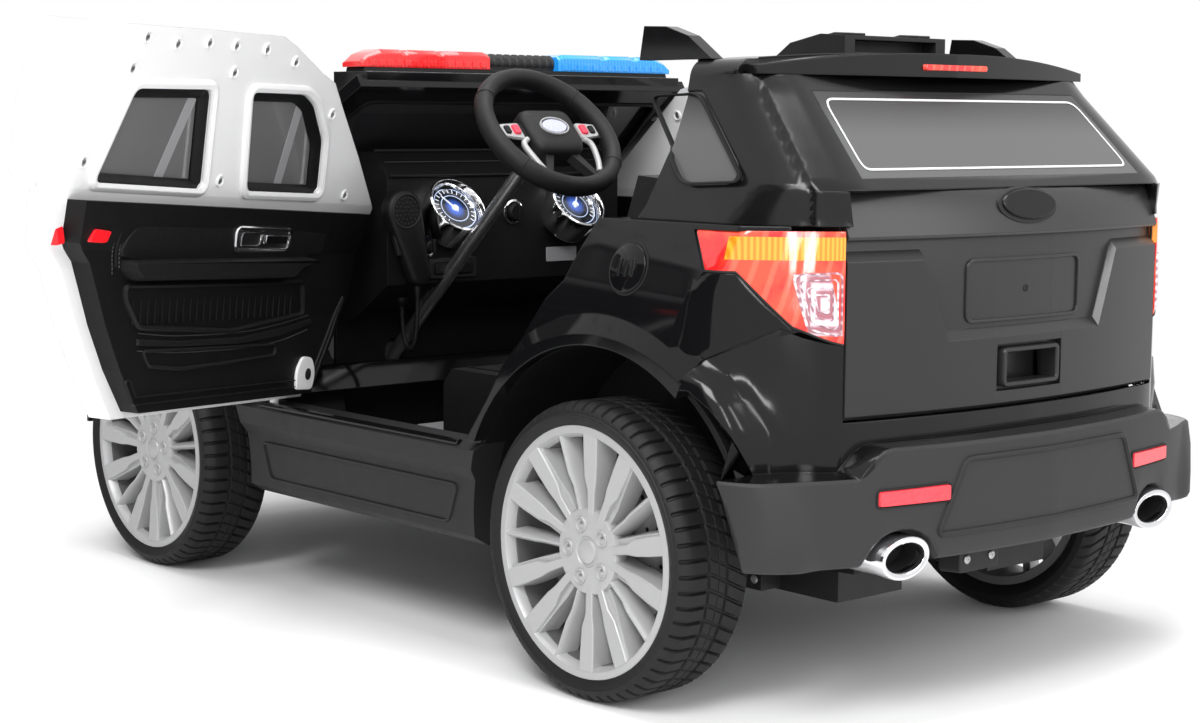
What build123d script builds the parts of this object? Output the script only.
from build123d import *

import os
from math import atan2, cos, degrees, hypot, radians, sin, tan

# A child's battery ride-on toy car in the shape of a police SUV: an open two-seater of
# thin moulded shells, with its left door open. Millimetres, +X forward, +Y to the left,
# +Z up. The model is drawn from the floor point under the middle of the rear axle and
# moved at the end, so that the origin lies under the middle of the whole box.

# Driving sizes of the running gear
wheelbase = 792.0
tyre_r = 140.0
tyre_width = 89.0
rim_r = 118.0
rim_width = 82.0
wheel_y = 300.0
axle_r = 6.0
running_gap = 0.05
seat_gap = 0.3

# Driving sizes of the body, as heights above the floor and half widths from the middle
wall = 6.0
flank_half = 322.0
belt_half = 297.0
belt_z = 446.0
pan_z = 112.0
sill_z = 218.0
sill_half = 322.0
bumper_z = 229.0
roof_half = 222.0
roof_z = 592.0
rear_x = -238.0
front_x = wheelbase + 212.0

# Wheel arches: the lip, the middle line and the foot of the flare
arch_r = 191.0
flare_r = 223.0
flare_foot_r = 249.0
flare_proud = 9.0
flare_drop = 22.0
rear_well_half = 240.0
front_well_half = 195.0

# Doors
door_front_x = 660.0
door_thick = 24.0
trim_thick = 20.0
hinge_x = 545.0
hinge_y = 315.0
hinge_z = 300.0
hinge_lean_back = 4.3
hinge_lean_in = 1.5
door_open_angle = 61.6
door_gap = 5.0
door_pin_r = 5.0
hinge_dir = Vector(tan(radians(-hinge_lean_back)), -tan(radians(hinge_lean_in)), 1).normalized()

# Windscreen frame: a point on its face and its slope from the horizontal
screen_x = 700.0
screen_slope = 33.0
screen_thick = 15.0

# Steering
wheel_hub_x = 345.0
wheel_hub_y = 92.0
wheel_hub_z = 522.0
column_angle = 43.0
steer_ring_r = 90.0
kingpin_y = 235.0
kingpin_r = 7.0
steer_arm = 60.0
steer_angle = 20.0

column = Plane(origin=(wheel_hub_x, wheel_hub_y, wheel_hub_z), x_dir=(0, 1, 0),
               z_dir=(-cos(radians(column_angle)), 0, sin(radians(column_angle))))
rod_length = (wheel_hub_z - 214) / sin(radians(column_angle)) - 18

half_span = 420.0

pieces = []


def keep(part, label):
    """Name a finished piece and put it with the others."""
    part.label = label
    pieces.append(part)


def side_face(points, rounding=0.0):
    """A closed outline in the side view, drawn as (x, z)."""
    with BuildSketch(Plane.XZ) as face:
        with BuildLine():
            Polyline(*points, close=True)
        make_face()
        if rounding:
            fillet(face.vertices(), rounding)
    return face.sketch


def plan_face(points):
    """A closed outline in plan, drawn as (x, y) on the left and mirrored to the right."""
    with BuildSketch(Plane.XY) as face:
        with BuildLine():
            Polyline(*points)
            mirror(about=Plane.XZ)
        make_face()
    return face.sketch


def body_section(inset):
    """Cross-section of the lower body, seen from behind, up to the belt."""
    with BuildSketch(Plane.YZ) as face:
        with BuildLine():
            low = Line((0, pan_z), (flank_half - inset, pan_z))
            side = Line(low @ 1, (flank_half - inset, 300))
            shoulder = ThreePointArc(side @ 1, (flank_half - 6 - inset, 385), (belt_half - inset, belt_z - inset))
            Line(shoulder @ 1, (0, belt_z - inset))
            mirror(about=Plane.YZ)
        make_face()
    return face.sketch


def roof_section(inset):
    """Cross-section of the rear roof cap, from the belt up over the crown."""
    with BuildSketch(Plane.YZ) as face:
        with BuildLine():
            low = Line((0, belt_z - 20), (288 - inset, belt_z - 20))
            side = Line(low @ 1, (245 - inset, roof_z - 17 - inset))
            corner = ThreePointArc(side @ 1, (238 - inset, roof_z - 5 - inset), (roof_half - inset, roof_z - inset))
            ThreePointArc(corner @ 1, (120, roof_z + 6 - inset), (0, roof_z + 8 - inset))
            mirror(about=Plane.YZ)
        make_face()
    return face.sketch


def common(side, plan, section):
    """The solid that a side view, a plan and a cross-section have in common."""
    with BuildPart() as solid:
        extrude(side, amount=half_span, both=True)
        if plan is not None:
            extrude(plan, amount=900, mode=Mode.INTERSECT)
        extrude(section, amount=1400, both=True, mode=Mode.INTERSECT)
    return solid.part


def arch_cut(axle_x, inner_half):
    """The two round wheel openings at one axle."""
    with BuildPart() as cut:
        for side in (1, -1):
            with BuildSketch(Plane(origin=(axle_x, side * inner_half, tyre_r), x_dir=(1, 0, 0), z_dir=(0, side, 0))):
                Circle(arch_r)
            extrude(amount=half_span - inner_half)
    return cut.part


def flares(axle_x):
    """Raised flares round the wheel openings at one axle."""
    with BuildPart() as ring:
        for side in (1, -1):
            face = Plane(origin=(axle_x, side * (flank_half - wall), tyre_r - flare_drop), x_dir=(1, 0, 0), z_dir=(0, side, 0))
            with BuildSketch(face) as foot:
                Circle(flare_foot_r)
            with BuildSketch(face.offset(wall + flare_proud)) as crest:
                Circle(flare_r)
            loft(sections=[foot.sketch, crest.sketch])
    return ring.part


# Side view of the door opening's rear edge, which the rear body shares with the doors
opening_edge = [(28, belt_z), (35, 430), (56, 387), (80, 367), (118, 316), (152, 266), (186, sill_z + 4)]
# Seam between the rear body and the bumper, from the flare back to the tail lamp
seam = [(-130, 328), (-167, 346), (-203, 357)]

rear_plan = [(700, 0), (700, 400), (-95, 400), (-95, 322), (-150, 303), (-190, 268), (-219, 230), (rear_x, 190), (rear_x, 0)]


def inset_plan(points, inset):
    """A plan outline pulled in towards the middle of the car."""
    middle = wheelbase / 2
    return [(x + (inset if x < middle else -inset) * (abs(x - middle) > 350), max(y - inset, 0) if y else 0) for x, y in points]


rear_cores = {}
for inset in (0.0, wall, 3 * wall):
    with BuildPart() as core:
        add(common(
            side_face([(rear_x - 5, pan_z), (rear_x - 5, belt_z + 5), (690, belt_z + 5), (690, pan_z)]),
            plan_face(inset_plan(rear_plan, inset)),
            body_section(inset),
        ))
    rear_cores[inset] = core.part

# Tail lamp outline in the side view, as (x, z)
lamp_edge = [(-101, 441), (-126, 406), (-154, 406), (-191, 359), (-221, 342), (-260, 342), (-260, 443)]
gate_half = 230.0
lamp_inner = gate_half + 0.5
gate_bottom = 290.0
gate_top = 476.0

with BuildPart() as lamp_prism:
    for side in (1, -1):
        extrude(side_face(lamp_edge).moved(Location((0, side * lamp_inner, 0))), amount=-side * 150)

# Rear body: quarter panels from the door openings to the tail lamps
body_side = side_face([*opening_edge, (60, sill_z + 4), (-80, bumper_z), *seam, (rear_x - 5, 357), (rear_x - 5, belt_z)])
with BuildPart() as body_rear:
    add(rear_cores[0.0])
    add(flares(0))
    extrude(body_side, amount=half_span, both=True, mode=Mode.INTERSECT)
    add(rear_cores[wall], mode=Mode.SUBTRACT)
    add(arch_cut(0, 100), mode=Mode.SUBTRACT)
    add(lamp_prism.part, mode=Mode.SUBTRACT)
    with Locations((rear_x, 0, gate_bottom + 100)):
        Box(100, 2 * gate_half + 1, 200, mode=Mode.SUBTRACT)
    # Open under the roof cap, with a ledge that the cap stands on
    with Locations((-80, 0, belt_z)):
        Box(280, 2 * 268, 60, mode=Mode.SUBTRACT)
keep(body_rear.part, "body_rear")

# Tail lamps: solid lenses that fill the cut corners
with BuildPart() as tail_lamps:
    add(rear_cores[0.0])
    add(lamp_prism.part, mode=Mode.INTERSECT)
    add(rear_cores[3 * wall], mode=Mode.SUBTRACT)
keep(tail_lamps.part, "tail_lamps")

# Tailgate: a fixed panel with a plate recess and a hand recess
gate_side = side_face([(rear_x - 2, gate_bottom), (rear_x - 2, 430), (rear_x + 12, gate_top), (rear_x + 30, gate_top), (rear_x + 18, gate_bottom)])
plate_half, plate_low, plate_high = 87.0, 355.0, 412.0
plate_screw_r, plate_screw_depth = 2.5, 10.0
hand_half, hand_low, hand_high = 42.0, 294.0, 327.0
with BuildPart() as tailgate:
    extrude(gate_side, amount=gate_half - 0.5, both=True)
    with Locations((rear_x - 2, 0, (plate_low + plate_high) / 2)):
        Box(6, 2 * plate_half, plate_high - plate_low, mode=Mode.SUBTRACT)
    with Locations((rear_x - 2, 0, (hand_low + hand_high) / 2 + 2)):
        Box(28, 2 * hand_half - 10, hand_high - hand_low - 8, mode=Mode.SUBTRACT)
    plate_hole = Plane(origin=(rear_x + 1, 0, (plate_low + plate_high) / 2), x_dir=(0, 1, 0), z_dir=(-1, 0, 0))
    with BuildSketch(plate_hole):
        Circle(plate_screw_r)
    extrude(amount=-plate_screw_depth, mode=Mode.SUBTRACT)
keep(tailgate.part, "tailgate")

tip_half_width, tip_half_height = 31.0, 19.0


def tip_plane(side):
    """The inner end of one exhaust tip, facing back."""
    return Plane(origin=(-205, side * 187, 156), x_dir=(0, 1, 0), z_dir=(-1, 0, 0))


with BuildPart() as reflectors:
    for side in (1, -1):
        with Locations(Location((-264, side * 176, 205), (0, 0, side * 12))):
            Box(3, 80, 14)

# Rear bumper, from the arches round the back, with its stepped lower panel
bumper_plan = [(-40, 0), (-40, 330), (-160, 328), (-190, 318), (-241, 236), (-252, 205), (-270, 120), (-270, 0)]
bumper_inner_plan = [(-30, 0), (-30, 322), (-158, 320), (-184, 311), (-233, 231), (-244, 199), (-262, 114), (-262, 0)]
lower_side = side_face([(-90, 161), (-215, 161), (-235, 147), (-268, 150), (-272, 160), (-272, bumper_z), (-60, bumper_z)])
upper_side = side_face([(-80, bumper_z), *seam, (rear_x - 5, 357), (rear_x - 5, bumper_z)])
with BuildPart() as bumper_lower:
    extrude(plan_face(bumper_plan), amount=400)
    add(flares(0))
    extrude(lower_side, amount=half_span, both=True, mode=Mode.INTERSECT)
    extrude(plan_face(bumper_inner_plan), amount=400, mode=Mode.SUBTRACT)
    add(arch_cut(0, 100), mode=Mode.SUBTRACT)
with BuildPart() as bumper_upper:
    add(rear_cores[0.0])
    add(flares(0))
    extrude(upper_side, amount=half_span, both=True, mode=Mode.INTERSECT)
    add(rear_cores[wall], mode=Mode.SUBTRACT)
    add(arch_cut(0, 100), mode=Mode.SUBTRACT)
    add(lamp_prism.part, mode=Mode.SUBTRACT)
    with Locations((rear_x, 0, gate_bottom + 100)):
        Box(100, 2 * gate_half + 1, 200, mode=Mode.SUBTRACT)
with BuildPart() as bumper_shelf:
    extrude(plan_face(bumper_plan), amount=400)
    extrude(plan_face([(-30, 0), (-30, 314), (-150, 300), (-210, 230), (-225, 180), (-225, 0)]), amount=400, mode=Mode.SUBTRACT)
    extrude(side_face([(-60, bumper_z - 4), (-280, bumper_z - 4), (-280, bumper_z), (-60, bumper_z)]), amount=half_span, both=True, mode=Mode.INTERSECT)
    add(arch_cut(0, 100), mode=Mode.SUBTRACT)
with BuildPart() as bumper_rear:
    add(bumper_lower.part)
    add(bumper_upper.part)
    add(bumper_shelf.part)
    add(reflectors.part, mode=Mode.SUBTRACT)
    for side in (1, -1):
        with BuildSketch(tip_plane(side)):
            Ellipse(tip_half_width + seat_gap, tip_half_height + seat_gap)
        extrude(amount=90, mode=Mode.SUBTRACT)
keep(bumper_rear.part, "bumper_rear")

# Reflectors on the bumper's corners
keep(reflectors.part, "reflectors")

# Exhaust tips: slanted oval tubes under the bumper
with BuildPart() as exhaust_tips:
    for side in (1, -1):
        with BuildSketch(tip_plane(side)):
            Ellipse(tip_half_width, tip_half_height)
            Ellipse(tip_half_width - 5, tip_half_height - 5, mode=Mode.SUBTRACT)
        extrude(amount=50)
keep(exhaust_tips.part, "exhaust_tips")

# Roof cap: the rear roof with its pillars, open to the seats
cap_side_points = [(28, belt_z), (40, roof_z + 12), (-96, roof_z + 12), (-96, 578), (-126, 578), (-224, gate_top), (-226, gate_top), (rear_x + 4, belt_z)]
cap_inner_points = [(80, belt_z - 10), (80, roof_z + 12), (-90, roof_z + 12), (-90, 572), (-122, 572), (-214, gate_top), (rear_x + 12, belt_z - 10)]
cap_outer = common(side_face(cap_side_points), None, roof_section(0))
cap_inner = common(side_face(cap_inner_points), None, roof_section(wall))
quarter_pane = [(18, 561), (-58, 563), (-141, 482), (-60, 478)]
rear_pane = [(192, 563), (205, 487)]
with BuildPart() as quarter_prism:
    extrude(side_face(quarter_pane, 12), amount=half_span, both=True)
with BuildPart() as rear_prism:
    with BuildSketch(Plane.YZ.offset(-90)):
        with BuildLine():
            Polyline((-rear_pane[0][0], rear_pane[0][1]), rear_pane[0], rear_pane[1], (-rear_pane[1][0], rear_pane[1][1]), close=True)
        make_face()
    extrude(amount=-200)
# The doors' rear edges lap over the cap's front edges, in a step cut this deep
lap_depth = 9.0
lap_edge = [(-2, belt_z - 10), (-16, 458), (-35, 517), (-39, 557), (-36, 590), (60, 620), (60, belt_z - 10)]
with BuildPart() as lap_cut:
    extrude(side_face(lap_edge), amount=half_span, both=True)
    add(common(side_face([(-60, 400), (-60, 640), (70, 640), (70, 400)]), None, roof_section(lap_depth)), mode=Mode.SUBTRACT)
with BuildPart() as roof_cap:
    add(cap_outer)
    add(cap_inner, mode=Mode.SUBTRACT)
    add(lap_cut.part, mode=Mode.SUBTRACT)
    add(quarter_prism.part, mode=Mode.SUBTRACT)
    add(rear_prism.part, mode=Mode.SUBTRACT)
    with Locations((rear_x, 0, gate_top - 60)):
        Box(100, 2 * gate_half + 1, 121, mode=Mode.SUBTRACT)
keep(roof_cap.part, "roof_cap")

pane_outer = common(side_face(cap_side_points), None, roof_section(1.0))
pane_inner = common(side_face([(80, belt_z - 10), (80, roof_z + 12), (-92, roof_z + 12), (-92, 575), (-123, 575), (-219, gate_top), (rear_x + 9, belt_z - 10)]), None, roof_section(4.0))
with BuildPart() as quarter_windows:
    add(pane_outer)
    add(pane_inner, mode=Mode.SUBTRACT)
    add(quarter_prism.part, mode=Mode.INTERSECT)
    add(lap_cut.part, mode=Mode.SUBTRACT)
keep(quarter_windows.part, "quarter_windows")
with BuildPart() as rear_window:
    add(pane_outer)
    add(pane_inner, mode=Mode.SUBTRACT)
    add(rear_prism.part, mode=Mode.INTERSECT)
keep(rear_window.part, "rear_window")

# Spoiler: a thin blade behind the roof
with BuildPart() as spoiler:
    with BuildSketch(Plane.XY.offset(578)):
        with BuildLine():
            Polyline((-96, 0), (-96, 232), (-118, 237))
            ThreePointArc((-118, 237), (-136, 130), (-148, 0))
            mirror(about=Plane.XZ)
        make_face()
    extrude(amount=30)
    with BuildSketch(Plane.YZ):
        with BuildLine():
            Line((0, 578), (238, 578))
            Line((238, 578), (238, roof_z - 6))
            ThreePointArc((238, roof_z - 6), (130, roof_z + 5), (0, roof_z + 8))
            mirror(about=Plane.YZ)
        make_face()
    extrude(amount=300, both=True, mode=Mode.INTERSECT)
keep(spoiler.part, "spoiler")

# Roof fins at the front corners of the cap, and the scoop between them
fin_side = side_face([(44, roof_z), (38, 624), (8, 623), (-22, 614), (-54, roof_z)])
with BuildPart() as roof_fins:
    for side in (1, -1):
        extrude(fin_side.moved(Location((0, side * 218, 0))), amount=-side * 15)
    extrude(side_face([(60, roof_z - 1), (60, 640), (-80, 640), (-80, roof_z - 1)]), amount=half_span, both=True, mode=Mode.INTERSECT)
    add(cap_outer, mode=Mode.SUBTRACT)
keep(roof_fins.part, "roof_fins")

with BuildPart() as roof_scoop:
    extrude(side_face([(30, roof_z), (0, 612), (-40, 620), (-72, 618), (-72, roof_z)]), amount=74, both=True)
    with Locations((-72, 0, 608)):
        Box(40, 120, 12, mode=Mode.SUBTRACT)
    add(cap_outer, mode=Mode.SUBTRACT)
keep(roof_scoop.part, "roof_scoop")

# Front body: bonnet and wings as one moulded shell
front_plan = [(-60, 0), (-60, 400), (front_x - 90, 400), (front_x - 90, 318), (front_x - 30, 290), (front_x - 4, 240), (front_x, 150), (front_x, 0)]
front_inner_plan = [(-60, 0), (-60, 400), (front_x - 94, 400), (front_x - 94, 312), (front_x - 36, 284), (front_x - 10, 236), (front_x - wall, 146), (front_x - wall, 0)]
hinge_edge = [(door_front_x + 6, belt_z), (door_front_x + 6, 338), (632, 300), (582, 222), (740, 222), (740, 250), (front_x + 5, 250),
              (front_x + 5, 385), (front_x - 40, 412), (860, 438), (screen_x + 1, belt_z + 8), (screen_x + 1, belt_z), (screen_x - 9, belt_z - 15)]
bonnet_inner = [(600, 100), (600, belt_z - 2), (700, belt_z + 2), (860, 432), (front_x - 44, 406), (front_x - 2, 381), (front_x - 2, 100)]


def front_section(inset):
    """Cross-section of the front body, crowned over the bonnet."""
    with BuildSketch(Plane.YZ) as face:
        with BuildLine():
            low = Line((0, pan_z), (flank_half - inset, pan_z))
            side = Line(low @ 1, (flank_half - inset, 300))
            shoulder = ThreePointArc(side @ 1, (flank_half - 6 - inset, 372), (belt_half - 14 - inset, belt_z - 16 - inset))
            ThreePointArc(shoulder @ 1, (150, belt_z + 4 - inset), (0, belt_z + 10 - inset))
            mirror(about=Plane.YZ)
        make_face()
    return face.sketch


front_outer = common(side_face([(560, 0), (560, 600), (front_x + 60, 600), (front_x + 60, 0)]), plan_face(front_plan), front_section(0))
front_inner = common(side_face(bonnet_inner), plan_face(front_inner_plan), front_section(wall))
with BuildPart() as body_front:
    add(front_outer)
    add(flares(wheelbase))
    extrude(side_face(hinge_edge), amount=half_span, both=True, mode=Mode.INTERSECT)
    add(front_inner, mode=Mode.SUBTRACT)
    add(arch_cut(wheelbase, 100), mode=Mode.SUBTRACT)
    # Openings for the grille and the two headlamps
    with Locations((front_x, 0, 320)):
        Box(60, 260, 80, mode=Mode.SUBTRACT)
    for side in (1, -1):
        with Locations((front_x - 20, side * 225, 335)):
            Box(160, 150, 64, mode=Mode.SUBTRACT)
keep(body_front.part, "body_front")

# Headlamps fill the corner openings
with BuildPart() as headlamps:
    add(front_outer)
    with Locations((front_x - 20, 225, 335), (front_x - 20, -225, 335)):
        Box(159, 149, 63, mode=Mode.INTERSECT)
    with BuildSketch(Plane.XY) as behind:
        with BuildLine():
            Polyline((-60, 0), (-60, 400), (front_x - 110, 400), (front_x - 110, 300), (front_x - 44, 270), (front_x - 20, 226), (front_x - 18, 140), (front_x - 18, 0))
            mirror(about=Plane.XZ)
        make_face()
    extrude(amount=500, mode=Mode.SUBTRACT)
keep(headlamps.part, "headlamps")

# Grille: a frame with bars
with BuildPart() as grille:
    with Locations((front_x - 8, 0, 320)):
        Box(16, 259, 79)
        Box(20, 239, 59, mode=Mode.SUBTRACT)
    for step in range(-2, 3):
        with Locations((front_x - 8, 0, 320 + step * 12)):
            Box(10, 245, 4)
    for step in (-80, 0, 80):
        with Locations((front_x - 10, step, 320)):
            Box(6, 6, 65)
keep(grille.part, "grille")

# Front bumper
bumper_front_x = front_x + 23
with BuildPart() as bumper_front:
    extrude(plan_face([(wheelbase + 40, 0), (wheelbase + 40, 328), (front_x - 60, 326), (front_x - 10, 290), (bumper_front_x - 6, 220), (bumper_front_x, 120), (bumper_front_x, 0)]), amount=500)
    extrude(side_face([(wheelbase + 60, 150), (front_x, 128), (bumper_front_x - 6, 128), (bumper_front_x, 150), (bumper_front_x, 235), (front_x - 4, 250), (wheelbase + 60, 250)]), amount=half_span, both=True, mode=Mode.INTERSECT)
    extrude(plan_face([(wheelbase + 20, 0), (wheelbase + 20, 321), (front_x - 66, 319), (front_x - 18, 284), (bumper_front_x - 14, 215), (bumper_front_x - 8, 116), (bumper_front_x - 8, 0)]), amount=500, mode=Mode.SUBTRACT)
    add(arch_cut(wheelbase, 100), mode=Mode.SUBTRACT)
keep(bumper_front.part, "bumper_front")

# Sills under the doors, with the long recess in the lower half
sill_rear_x = 172.0
sill_front_x = wheelbase - 172.0
with BuildPart() as sills:
    for side in (1, -1):
        with BuildSketch(Plane.YZ.offset(sill_rear_x)):
            with BuildLine():
                Polyline((side * 290, pan_z), (side * 300, pan_z), (side * 316, 122), (side * 318, 180), (side * 326, 192), (side * 328, 212), (side * 318, sill_z), (side * 290, sill_z), close=True)
            make_face()
        extrude(amount=sill_front_x - sill_rear_x)
    add(arch_cut(0, 100), mode=Mode.SUBTRACT)
    add(arch_cut(wheelbase, 100), mode=Mode.SUBTRACT)
    # Bores for the pins that the doors hang on
    with BuildSketch(Plane(origin=(hinge_x, hinge_y, hinge_z), z_dir=hinge_dir).offset(-60)) as pin_bore:
        Circle(door_pin_r + running_gap)
    extrude(amount=-50, mode=Mode.SUBTRACT)
    with BuildSketch(Plane(origin=(hinge_x, -hinge_y, hinge_z), z_dir=(hinge_dir.X, -hinge_dir.Y, hinge_dir.Z)).offset(-60)):
        Circle(door_pin_r + running_gap)
    extrude(amount=-50, mode=Mode.SUBTRACT)
keep(sills.part, "sills")

fork_low_z = pan_z
fork_high_z = 168.0
fork_thick = 6.0
arm_z = 100.0
# Chassis: the floor pan between the sills with the wheel wells' inner walls
deck_z = 345.0
liner_low_z = 150.0
rear_box = [(-200, pan_z + 20), (-200, deck_z), (110, deck_z), (150, 250), (197, 236), (197, pan_z)]
with BuildPart() as well_liners:
    for axle_x in (0, wheelbase):
        for side in (1, -1):
            with BuildSketch(Plane(origin=(axle_x, side * 185, tyre_r), x_dir=(1, 0, 0), z_dir=(0, side, 0))):
                Circle(arch_r + wall)
                Circle(arch_r, mode=Mode.SUBTRACT)
            extrude(amount=flank_half - wall - 185)
            with BuildSketch(Plane(origin=(axle_x, side * 185, tyre_r), x_dir=(1, 0, 0), z_dir=(0, side, 0))):
                Circle(arch_r + wall)
            extrude(amount=5)
    with Locations((wheelbase / 2, 0, liner_low_z - 200)):
        Box(2000, 800, 400, mode=Mode.SUBTRACT)
    for outer in (body_rear, bumper_rear, body_front, bumper_front, sills):
        add(outer.part, mode=Mode.SUBTRACT)
front_box = [(640, pan_z), (640, 215), (660, 230), (960, 230), (975, 215), (975, pan_z)]
with BuildPart() as chassis:
    extrude(side_face(rear_box), amount=190, both=True)
    extrude(side_face([(-194, pan_z - 1), (-194, deck_z - wall), (106, deck_z - wall), (145, 245), (191, 231), (191, pan_z - 1)]), amount=190 - wall, both=True, mode=Mode.SUBTRACT)
    extrude(side_face(front_box), amount=front_well_half - 5, both=True)
    extrude(side_face([(646, pan_z - 1), (646, 212), (662, 224), (958, 224), (969, 212), (969, pan_z - 1)]), amount=front_well_half - 5 - wall, both=True, mode=Mode.SUBTRACT)
    # The floor pan stops clear of the steered tyres and runs on between them
    for pan_front_x, pan_half in ((wheelbase - arch_r, 290), (640, front_well_half - 5)):
        with Locations(((arch_r + wall + pan_front_x) / 2, 0, pan_z + wall / 2)):
            Box(pan_front_x - arch_r - wall, 2 * pan_half, wall)
    add(well_liners.part)
    # Bearing blocks for the rear axle
    for side in (1, -1):
        with Locations((0, side * 205, tyre_r)):
            Box(36, 32, 60)
    with Locations(Location((0, 0, tyre_r), (90, 0, 0))):
        Cylinder(axle_r + running_gap, 500, mode=Mode.SUBTRACT)
    # Forks that hold the kingpins above and below
    for side in (1, -1):
        for level in (fork_low_z, fork_high_z):
            with BuildSketch(Plane.XY.offset(level)):
                with Locations((wheelbase, side * kingpin_y)):
                    Circle(14)
                with Locations((wheelbase, side * (kingpin_y - 25))):
                    Rectangle(28, 50)
            extrude(amount=fork_thick)
    with Locations((wheelbase, kingpin_y, tyre_r), (wheelbase, -kingpin_y, tyre_r)):
        Cylinder(kingpin_r + running_gap, 120, mode=Mode.SUBTRACT)
    with BuildSketch(column.offset(-18)):
        Circle(8 + running_gap)
    extrude(amount=-rod_length, mode=Mode.SUBTRACT)
keep(chassis.part, "chassis")

# Rear axle rod
with BuildPart() as rear_axle:
    with Locations(Location((0, 0, tyre_r), (90, 0, 0))):
        Cylinder(axle_r, 2 * (wheel_y + 10))
keep(rear_axle.part, "rear_axle")

# Gearboxes behind the rear axle, low between the wheels
with BuildPart() as gearboxes:
    for side in (1, -1):
        with Locations((-30, side * 150, 132)):
            Box(90, 60, 76)
        with Locations((-95, side * 110, 118)):
            Box(110, 90, 52)
    with Locations(Location((0, 0, tyre_r), (90, 0, 0))):
        Cylinder(axle_r + running_gap, 500, mode=Mode.SUBTRACT)
keep(gearboxes.part, "gearboxes")

# Wheels: each corner has a tyre, a spoked rim and a brake disc behind the spokes.
# They are drawn about the wheel's centre with +Y outwards.
hub_face = rim_width / 2 - 7


def outward(distance):
    """The plane across the wheel at a distance out from its middle."""
    return Plane(origin=(0, distance, 0), x_dir=(-1, 0, 0), z_dir=(0, 1, 0))


with BuildPart() as tyre:
    with BuildSketch(Plane.XY):
        with BuildLine():
            Polyline(
                (rim_r - 4, -tyre_width / 2 + 8), (rim_r + 6, -tyre_width / 2), (tyre_r - 8, -tyre_width / 2 + 2),
                (tyre_r, -tyre_width / 2 + 12), (tyre_r, tyre_width / 2 - 12), (tyre_r - 8, tyre_width / 2 - 2),
                (rim_r + 6, tyre_width / 2), (rim_r - 4, tyre_width / 2 - 8), close=True)
        make_face()
    revolve(axis=Axis.Y)

barrel_r = rim_r - 4
with BuildPart() as rim:
    with BuildSketch(Plane.XY):
        with BuildLine():
            Polyline(
                (barrel_r, -rim_width / 2 + 4), (barrel_r, rim_width / 2 - 4.1), (rim_r + 1, rim_width / 2),
                (rim_r - 9, rim_width / 2), (rim_r - 12, rim_width / 2 - 8), (rim_r - 14, -rim_width / 2 + 4), close=True)
        make_face()
    revolve(axis=Axis.Y)
    # Spokes in five groups of wide, thin and wide
    for width, turns in ((13.0, (-23, 23)), (7.0, (0,))):
        with BuildSketch(outward(hub_face - 12)):
            for turn in turns:
                with PolarLocations(0, 5, start_angle=90 + turn):
                    with Locations((70, 0)):
                        Rectangle(76, width)
        extrude(amount=12)
    with BuildSketch(outward(-rim_width / 2 + 12)):
        Circle(22)
    extrude(amount=hub_face + rim_width / 2 - 12)
    with BuildSketch(outward(hub_face - 14)):
        Circle(42)
    extrude(amount=14)
    with BuildSketch(outward(hub_face)):
        with PolarLocations(26, 5, start_angle=90):
            Circle(5)
    extrude(amount=-5, mode=Mode.SUBTRACT)
    # Blind bore for the axle
    with BuildSketch(outward(-rim_width / 2)):
        Circle(axle_r + running_gap)
    extrude(amount=rim_width / 2 + 20, mode=Mode.SUBTRACT)

with BuildPart() as disc:
    with BuildSketch(outward(-4)):
        Circle(78)
        Circle(22 + seat_gap, mode=Mode.SUBTRACT)
    extrude(amount=5)
    with BuildSketch(outward(-8)):
        with Locations((62, 0)):
            Rectangle(26, 54)
    extrude(amount=16)

for end, axle_x in (("rear", 0.0), ("front", wheelbase)):
    for hand, side in (("left", 1), ("right", -1)):
        for name, blank in (("tyre", tyre.part), ("rim", rim.part), ("brake_disc", disc.part)):
            turned = blank if side > 0 else mirror(blank, about=Plane.XZ)
            keep(turned.moved(Location((axle_x, side * wheel_y, tyre_r))), f"{name}_{end}_{hand}")

# Knuckles: kingpin, stub axle and steering arm, for the left and the right
for hand, side in (("left", 1), ("right", -1)):
    collar_low = fork_low_z + fork_thick + seat_gap
    collar_high = fork_high_z - seat_gap
    with BuildPart() as knuckle:
        with BuildSketch(Plane.XY.offset(arm_z)):
            with Locations((wheelbase, side * kingpin_y)):
                Circle(kingpin_r)
        extrude(amount=fork_high_z + fork_thick + 4 - arm_z)
        with BuildSketch(Plane.XY.offset(collar_low)):
            with Locations((wheelbase, side * kingpin_y)):
                Circle(12)
        extrude(amount=collar_high - collar_low)
        with Locations(Location((wheelbase, side * (kingpin_y + wheel_y + 10) / 2, tyre_r), (90, 0, 0))):
            Cylinder(axle_r, wheel_y + 10 - kingpin_y)
        with BuildSketch(Plane.XY.offset(arm_z)):
            with Locations((wheelbase - steer_arm / 2, side * kingpin_y)):
                SlotOverall(steer_arm + 18, 18)
        extrude(amount=6)
        with BuildSketch(Plane.XY.offset(arm_z - 10)):
            with Locations((wheelbase - steer_arm, side * kingpin_y)):
                Circle(4)
        extrude(amount=12)
    keep(knuckle.part, f"knuckle_{hand}")

# Tie rod: a flat bar whose end slots take the pins of the steering arms
with BuildPart() as tie_rod:
    with BuildSketch(Plane.XY.offset(arm_z - 6.5)):
        with Locations((wheelbase - steer_arm + 2, 0)):
            Rectangle(20, 2 * kingpin_y + 24)
        with Locations((wheelbase - steer_arm + 2, kingpin_y), (wheelbase - steer_arm + 2, -kingpin_y)):
            SlotOverall(14, 8.8, mode=Mode.SUBTRACT)
    extrude(amount=6)
keep(tie_rod.part, "tie_rod")

# Battery under the bonnet, on the front of the chassis
with BuildPart() as battery:
    with Locations((840, 0, 230 + 47.5)):
        Box(99, 151, 95)
keep(battery.part, "battery")

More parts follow.
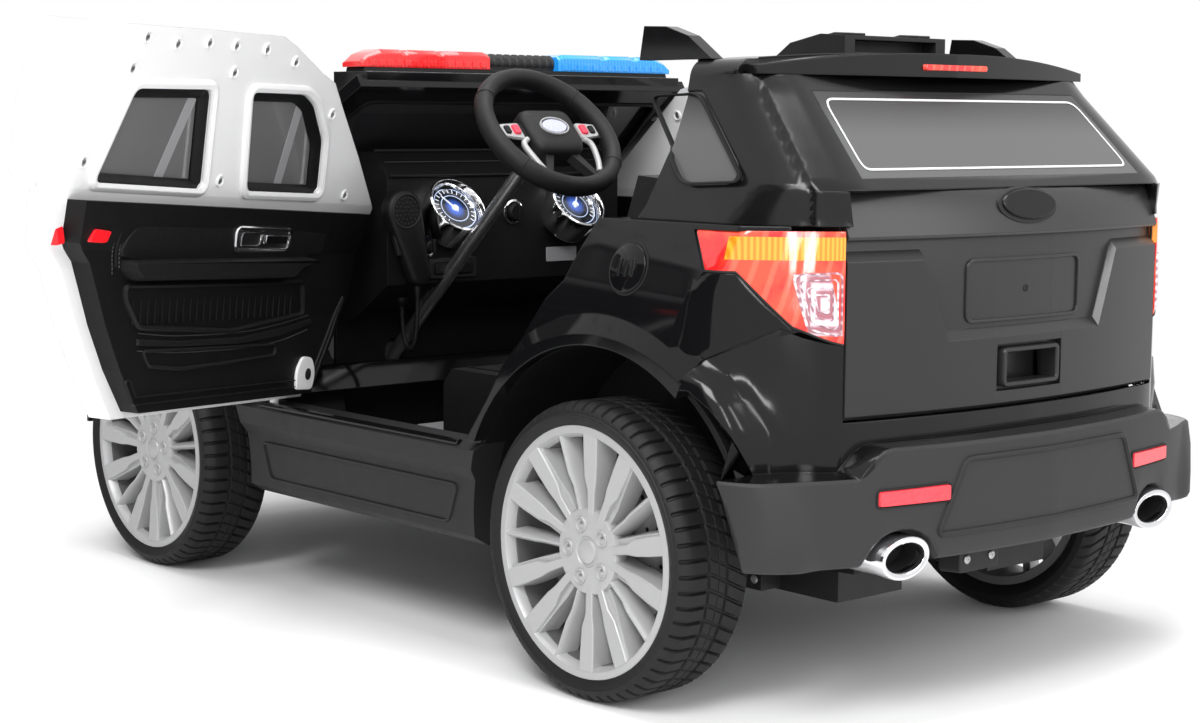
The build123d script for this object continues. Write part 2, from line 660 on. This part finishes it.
# Steering wheel and its rod
with BuildPart() as steering_wheel:
    with BuildSketch(Plane(origin=column.origin, x_dir=column.x_dir, z_dir=column.y_dir)):
        with Locations((steer_ring_r - 10, 0)):
            Ellipse(10, 12)
    revolve(axis=Axis(column.origin, column.z_dir))
    with BuildSketch(column.offset(-18)):
        Circle(34)
    extrude(amount=26)
    with BuildSketch(column.offset(-10)):
        for turn in (0, 180, 270):
            with Locations(Location((0, 0, 0), (0, 0, turn))):
                with Locations((52, 0)):
                    Rectangle(64, 22)
    extrude(amount=10)
keep(steering_wheel.part, "steering_wheel")

with BuildPart() as steering_rod:
    with BuildSketch(column.offset(-18)):
        Circle(8)
    extrude(amount=-rod_length)
keep(steering_rod.part, "steering_rod")

# Dashboard: a moulded block with round gauge pods
dash_x = 530.0
dash_half = 176.0
with BuildPart() as dashboard:
    extrude(side_face([(dash_x, 345), (dash_x, 470), (dash_x + 30, 497), (dash_x + 66, 497), (660, 450), (660, 300), (600, 300)]), amount=dash_half, both=True)
    extrude(side_face([(dash_x + 8, 352), (dash_x + 8, 462), (dash_x + 34, 489), (dash_x + 62, 489), (666, 444), (666, 290), (606, 290)]), amount=dash_half - wall, both=True, mode=Mode.SUBTRACT)
    with Locations((637, 0, (pan_z + wall + 310) / 2)):
        Box(6, 2 * dash_half, 310 - pan_z - wall)
    with BuildSketch(column.offset(-40)):
        Circle(14)
    extrude(amount=-400, mode=Mode.SUBTRACT)
keep(dashboard.part, "dashboard")

with BuildPart() as gauges:
    for side in (1, -1):
        with BuildSketch(Plane(origin=(dash_x, side * 80, 428), x_dir=(0, 1, 0), z_dir=(-1, 0, 0))):
            Circle(27)
        extrude(amount=8)
        with BuildSketch(Plane(origin=(dash_x - 8, side * 80, 428), x_dir=(0, 1, 0), z_dir=(-1, 0, 0))):
            Circle(20)
        extrude(amount=-5, mode=Mode.SUBTRACT)
keep(gauges.part, "gauges")

# Windscreen frame and pane on one slope, with a flat header for the light bar
slope = radians(screen_slope)
screen = Plane(origin=(screen_x, 0, belt_z), x_dir=(0, 1, 0), z_dir=(sin(slope), 0, cos(slope)))
screen_run = (screen_x - 489) / cos(slope)
frame_low_half, frame_high_half, frame_bar = 294.0, 246.0, 26.0
frame_points = [(-frame_low_half, 0), (-frame_high_half, screen_run), (frame_high_half, screen_run), (frame_low_half, 0)]
pane_points = [(-frame_low_half + frame_bar, 14), (-frame_high_half + frame_bar, screen_run - 30), (frame_high_half - frame_bar, screen_run - 30), (frame_low_half - frame_bar, 14)]
with BuildPart() as windscreen_frame:
    with BuildSketch(screen) as outline:
        with BuildLine():
            Polyline(*frame_points, close=True)
        make_face()
        with BuildLine():
            Polyline(*pane_points, close=True)
        make_face(mode=Mode.SUBTRACT)
    extrude(amount=-screen_thick)
    extrude(side_face([(485, 574), (485, 587), (548, 587), (548, 552), (520, 566)]), amount=frame_high_half - 10, both=True)
keep(windscreen_frame.part, "windscreen_frame")
with BuildPart() as windscreen:
    with BuildSketch(screen.offset(-4)):
        with BuildLine():
            Polyline(*pane_points, close=True)
        make_face()
    extrude(amount=-3)
    extrude(side_face([(485, 574), (485, 587), (548, 587), (548, 552), (520, 566)]), amount=frame_high_half - 10, both=True, mode=Mode.SUBTRACT)
keep(windscreen.part, "windscreen")

# Light bar: a base on the header with a red and a blue lens beside a ribbed middle
bar_x, bar_z, bar_half, bar_mid = 517.0, 587.0, 233.0, 52.0
with BuildPart() as light_bar:
    with BuildSketch(Plane.XY.offset(bar_z)):
        with Locations((bar_x, 0)):
            Rectangle(38, 2 * bar_half - 10)
    extrude(amount=5)
    with BuildSketch(Plane.XY.offset(bar_z)):
        with Locations((bar_x, 0)):
            Rectangle(34, 2 * bar_mid - 1)
    extrude(amount=21)
keep(light_bar.part, "light_bar")
for name, side in (("red", 1), ("blue", -1)):
    with BuildPart() as lens:
        with BuildSketch(Plane.YZ.offset(bar_x - 19)):
            with BuildLine():
                Polyline((side * bar_mid, bar_z + 5), (side * bar_mid, bar_z + 22), (side * (bar_half - 20), bar_z + 24), (side * bar_half, bar_z + 12), (side * bar_half, bar_z + 5), close=True)
            make_face()
        extrude(amount=38)
    keep(lens.part, f"light_bar_lens_{name}")

# Doors, drawn closed on the left: white shell, black trim, panes, handle and mirror
door_main = [(35, 560), (60, 593), (185, 601), (335, 609), (367, 602), (437, 581), (472, 573), (505, 550), (581, 499),
             (door_front_x, belt_z - 4), (door_front_x, 335), (626, 296), (576, sill_z + door_gap + 4),
             *[(x + door_gap, z + door_gap) for x, z in reversed(opening_edge)], (48, 458)]
door_lap = [(60, 593), (-31, 589), (-34, 557), (-30, 517), (-11, 458), (4, belt_z + 3), (60, belt_z + 3)]
rear_light = [(102, 539), (233, 548), (273, 446 + 6), (82, 446 + 6)]
front_light = [(306, 551), (417, 557), (444, 548), (488, 513), (516, 449 + 6), (355, 447 + 6)]


def door_section(shift, thick):
    """Cross-section of a left door slab, seen from behind, following the body side."""
    with BuildSketch(Plane.YZ) as face:
        with BuildLine():
            Polyline(
                (flank_half + shift, 220), (flank_half + shift, 320), (flank_half - 8 + shift, 390), (belt_half + shift, belt_z - 6),
                (288 + shift, belt_z), (240 + shift, 612), (240 + shift - thick, 612), (288 + shift - thick, belt_z), (flank_half - 8 + shift - thick, 390),
                (flank_half + shift - thick, 320), (flank_half + shift - thick, 220), close=True)
        make_face()
    return face.sketch


with BuildPart() as door_lap_skin:
    extrude(side_face(door_lap), amount=-half_span)
    extrude(door_section(0, lap_depth - 2), amount=1400, both=True, mode=Mode.INTERSECT)
with BuildPart() as door_pin:
    with BuildSketch(Plane(origin=(hinge_x, hinge_y, hinge_z), z_dir=hinge_dir).offset(-70)):
        Circle(door_pin_r)
    extrude(amount=-38)
with BuildPart() as door_shell:
    extrude(side_face(door_main), amount=-half_span)
    extrude(door_section(0, door_thick), amount=1400, both=True, mode=Mode.INTERSECT)
    add(door_lap_skin.part)
    for light in (rear_light, front_light):
        extrude(side_face(light, 8), amount=-half_span, mode=Mode.SUBTRACT)
    add(door_pin.part)

trim_outline = [(55, 436), (632, 436), (632, 340), (610, 300), (562, 234), (208, 234), (172, 276), (138, 326), (100, 379), (76, 397)]
with BuildPart() as door_handle:
    with Locations((400, flank_half - 8 - door_thick - trim_thick + 5, 402)):
        Box(112, 4, 20)

with BuildPart() as door_trim:
    extrude(side_face(trim_outline), amount=-half_span)
    extrude(door_section(-door_thick, trim_thick), amount=1400, both=True, mode=Mode.INTERSECT)
    add(door_shell.part, mode=Mode.SUBTRACT)
    with Locations((400, flank_half - 8 - door_thick - trim_thick, 402)):
        Box(120, 12, 24, mode=Mode.SUBTRACT)
    add(door_handle.part, mode=Mode.SUBTRACT)

with BuildPart() as door_panes:
    extrude(side_face(rear_light, 8), amount=-half_span)
    extrude(side_face(front_light, 8), amount=-half_span)
    extrude(door_section(-10, 3), amount=1400, both=True, mode=Mode.INTERSECT)

with BuildPart() as door_mirror:
    with Locations((545, 330, 478)):
        Box(34, 78, 50)
    with Locations((545, 290, 466)):
        Box(26, 40, 16)
    add(door_shell.part, mode=Mode.SUBTRACT)

hinge_axis = Axis((hinge_x, hinge_y, hinge_z), hinge_dir)
for name, blank in (("shell", door_shell.part), ("trim", door_trim.part), ("panes", door_panes.part),
                    ("handle", door_handle.part), ("mirror", door_mirror.part)):
    keep(blank.rotate(hinge_axis, -door_open_angle), f"door_left_{name}")
    keep(mirror(blank, about=Plane.XZ), f"door_right_{name}")

# Seats: two moulded buckets side by side on the floor, against the rear deck
seat_side = [(198, pan_z + wall), (198, 241), (152, 255), (112, 346), (70, 480), (98, 482), (182, 262), (400, 262), (415, 245), (415, pan_z + wall)]
with BuildPart() as seats:
    for side in (1, -1):
        extrude(side_face(seat_side).moved(Location((0, side * 100, 0))), amount=84, both=True)
keep(seats.part, "seats")

# Accelerator pedal
with BuildPart() as pedal:
    extrude(side_face([(560, pan_z + 6), (600, pan_z + 6), (610, 165), (602, 168)]).moved(Location((0, 55, 0))), amount=25, both=True)
keep(pedal.part, "pedal")

# Hand microphone in its clip on the dash, and its curly cord
with BuildPart() as microphone:
    with Locations((dash_x - 12, 160, 425)):
        Box(24, 40, 60)
keep(microphone.part, "microphone")

# Shift to the middle of the box and write the files
box = Compound(pieces).bounding_box()
shift = Vector(-(box.min.X + box.max.X) / 2, -(box.min.Y + box.max.Y) / 2, 0)
print("shift", shift.X, shift.Y, "size", box.size)
os.makedirs("parts", exist_ok=True)
for piece in pieces:
    label = piece.label
    placed = piece.moved(Location(shift))
    placed.label = label
    export_step(placed, f"parts/{label}.step")
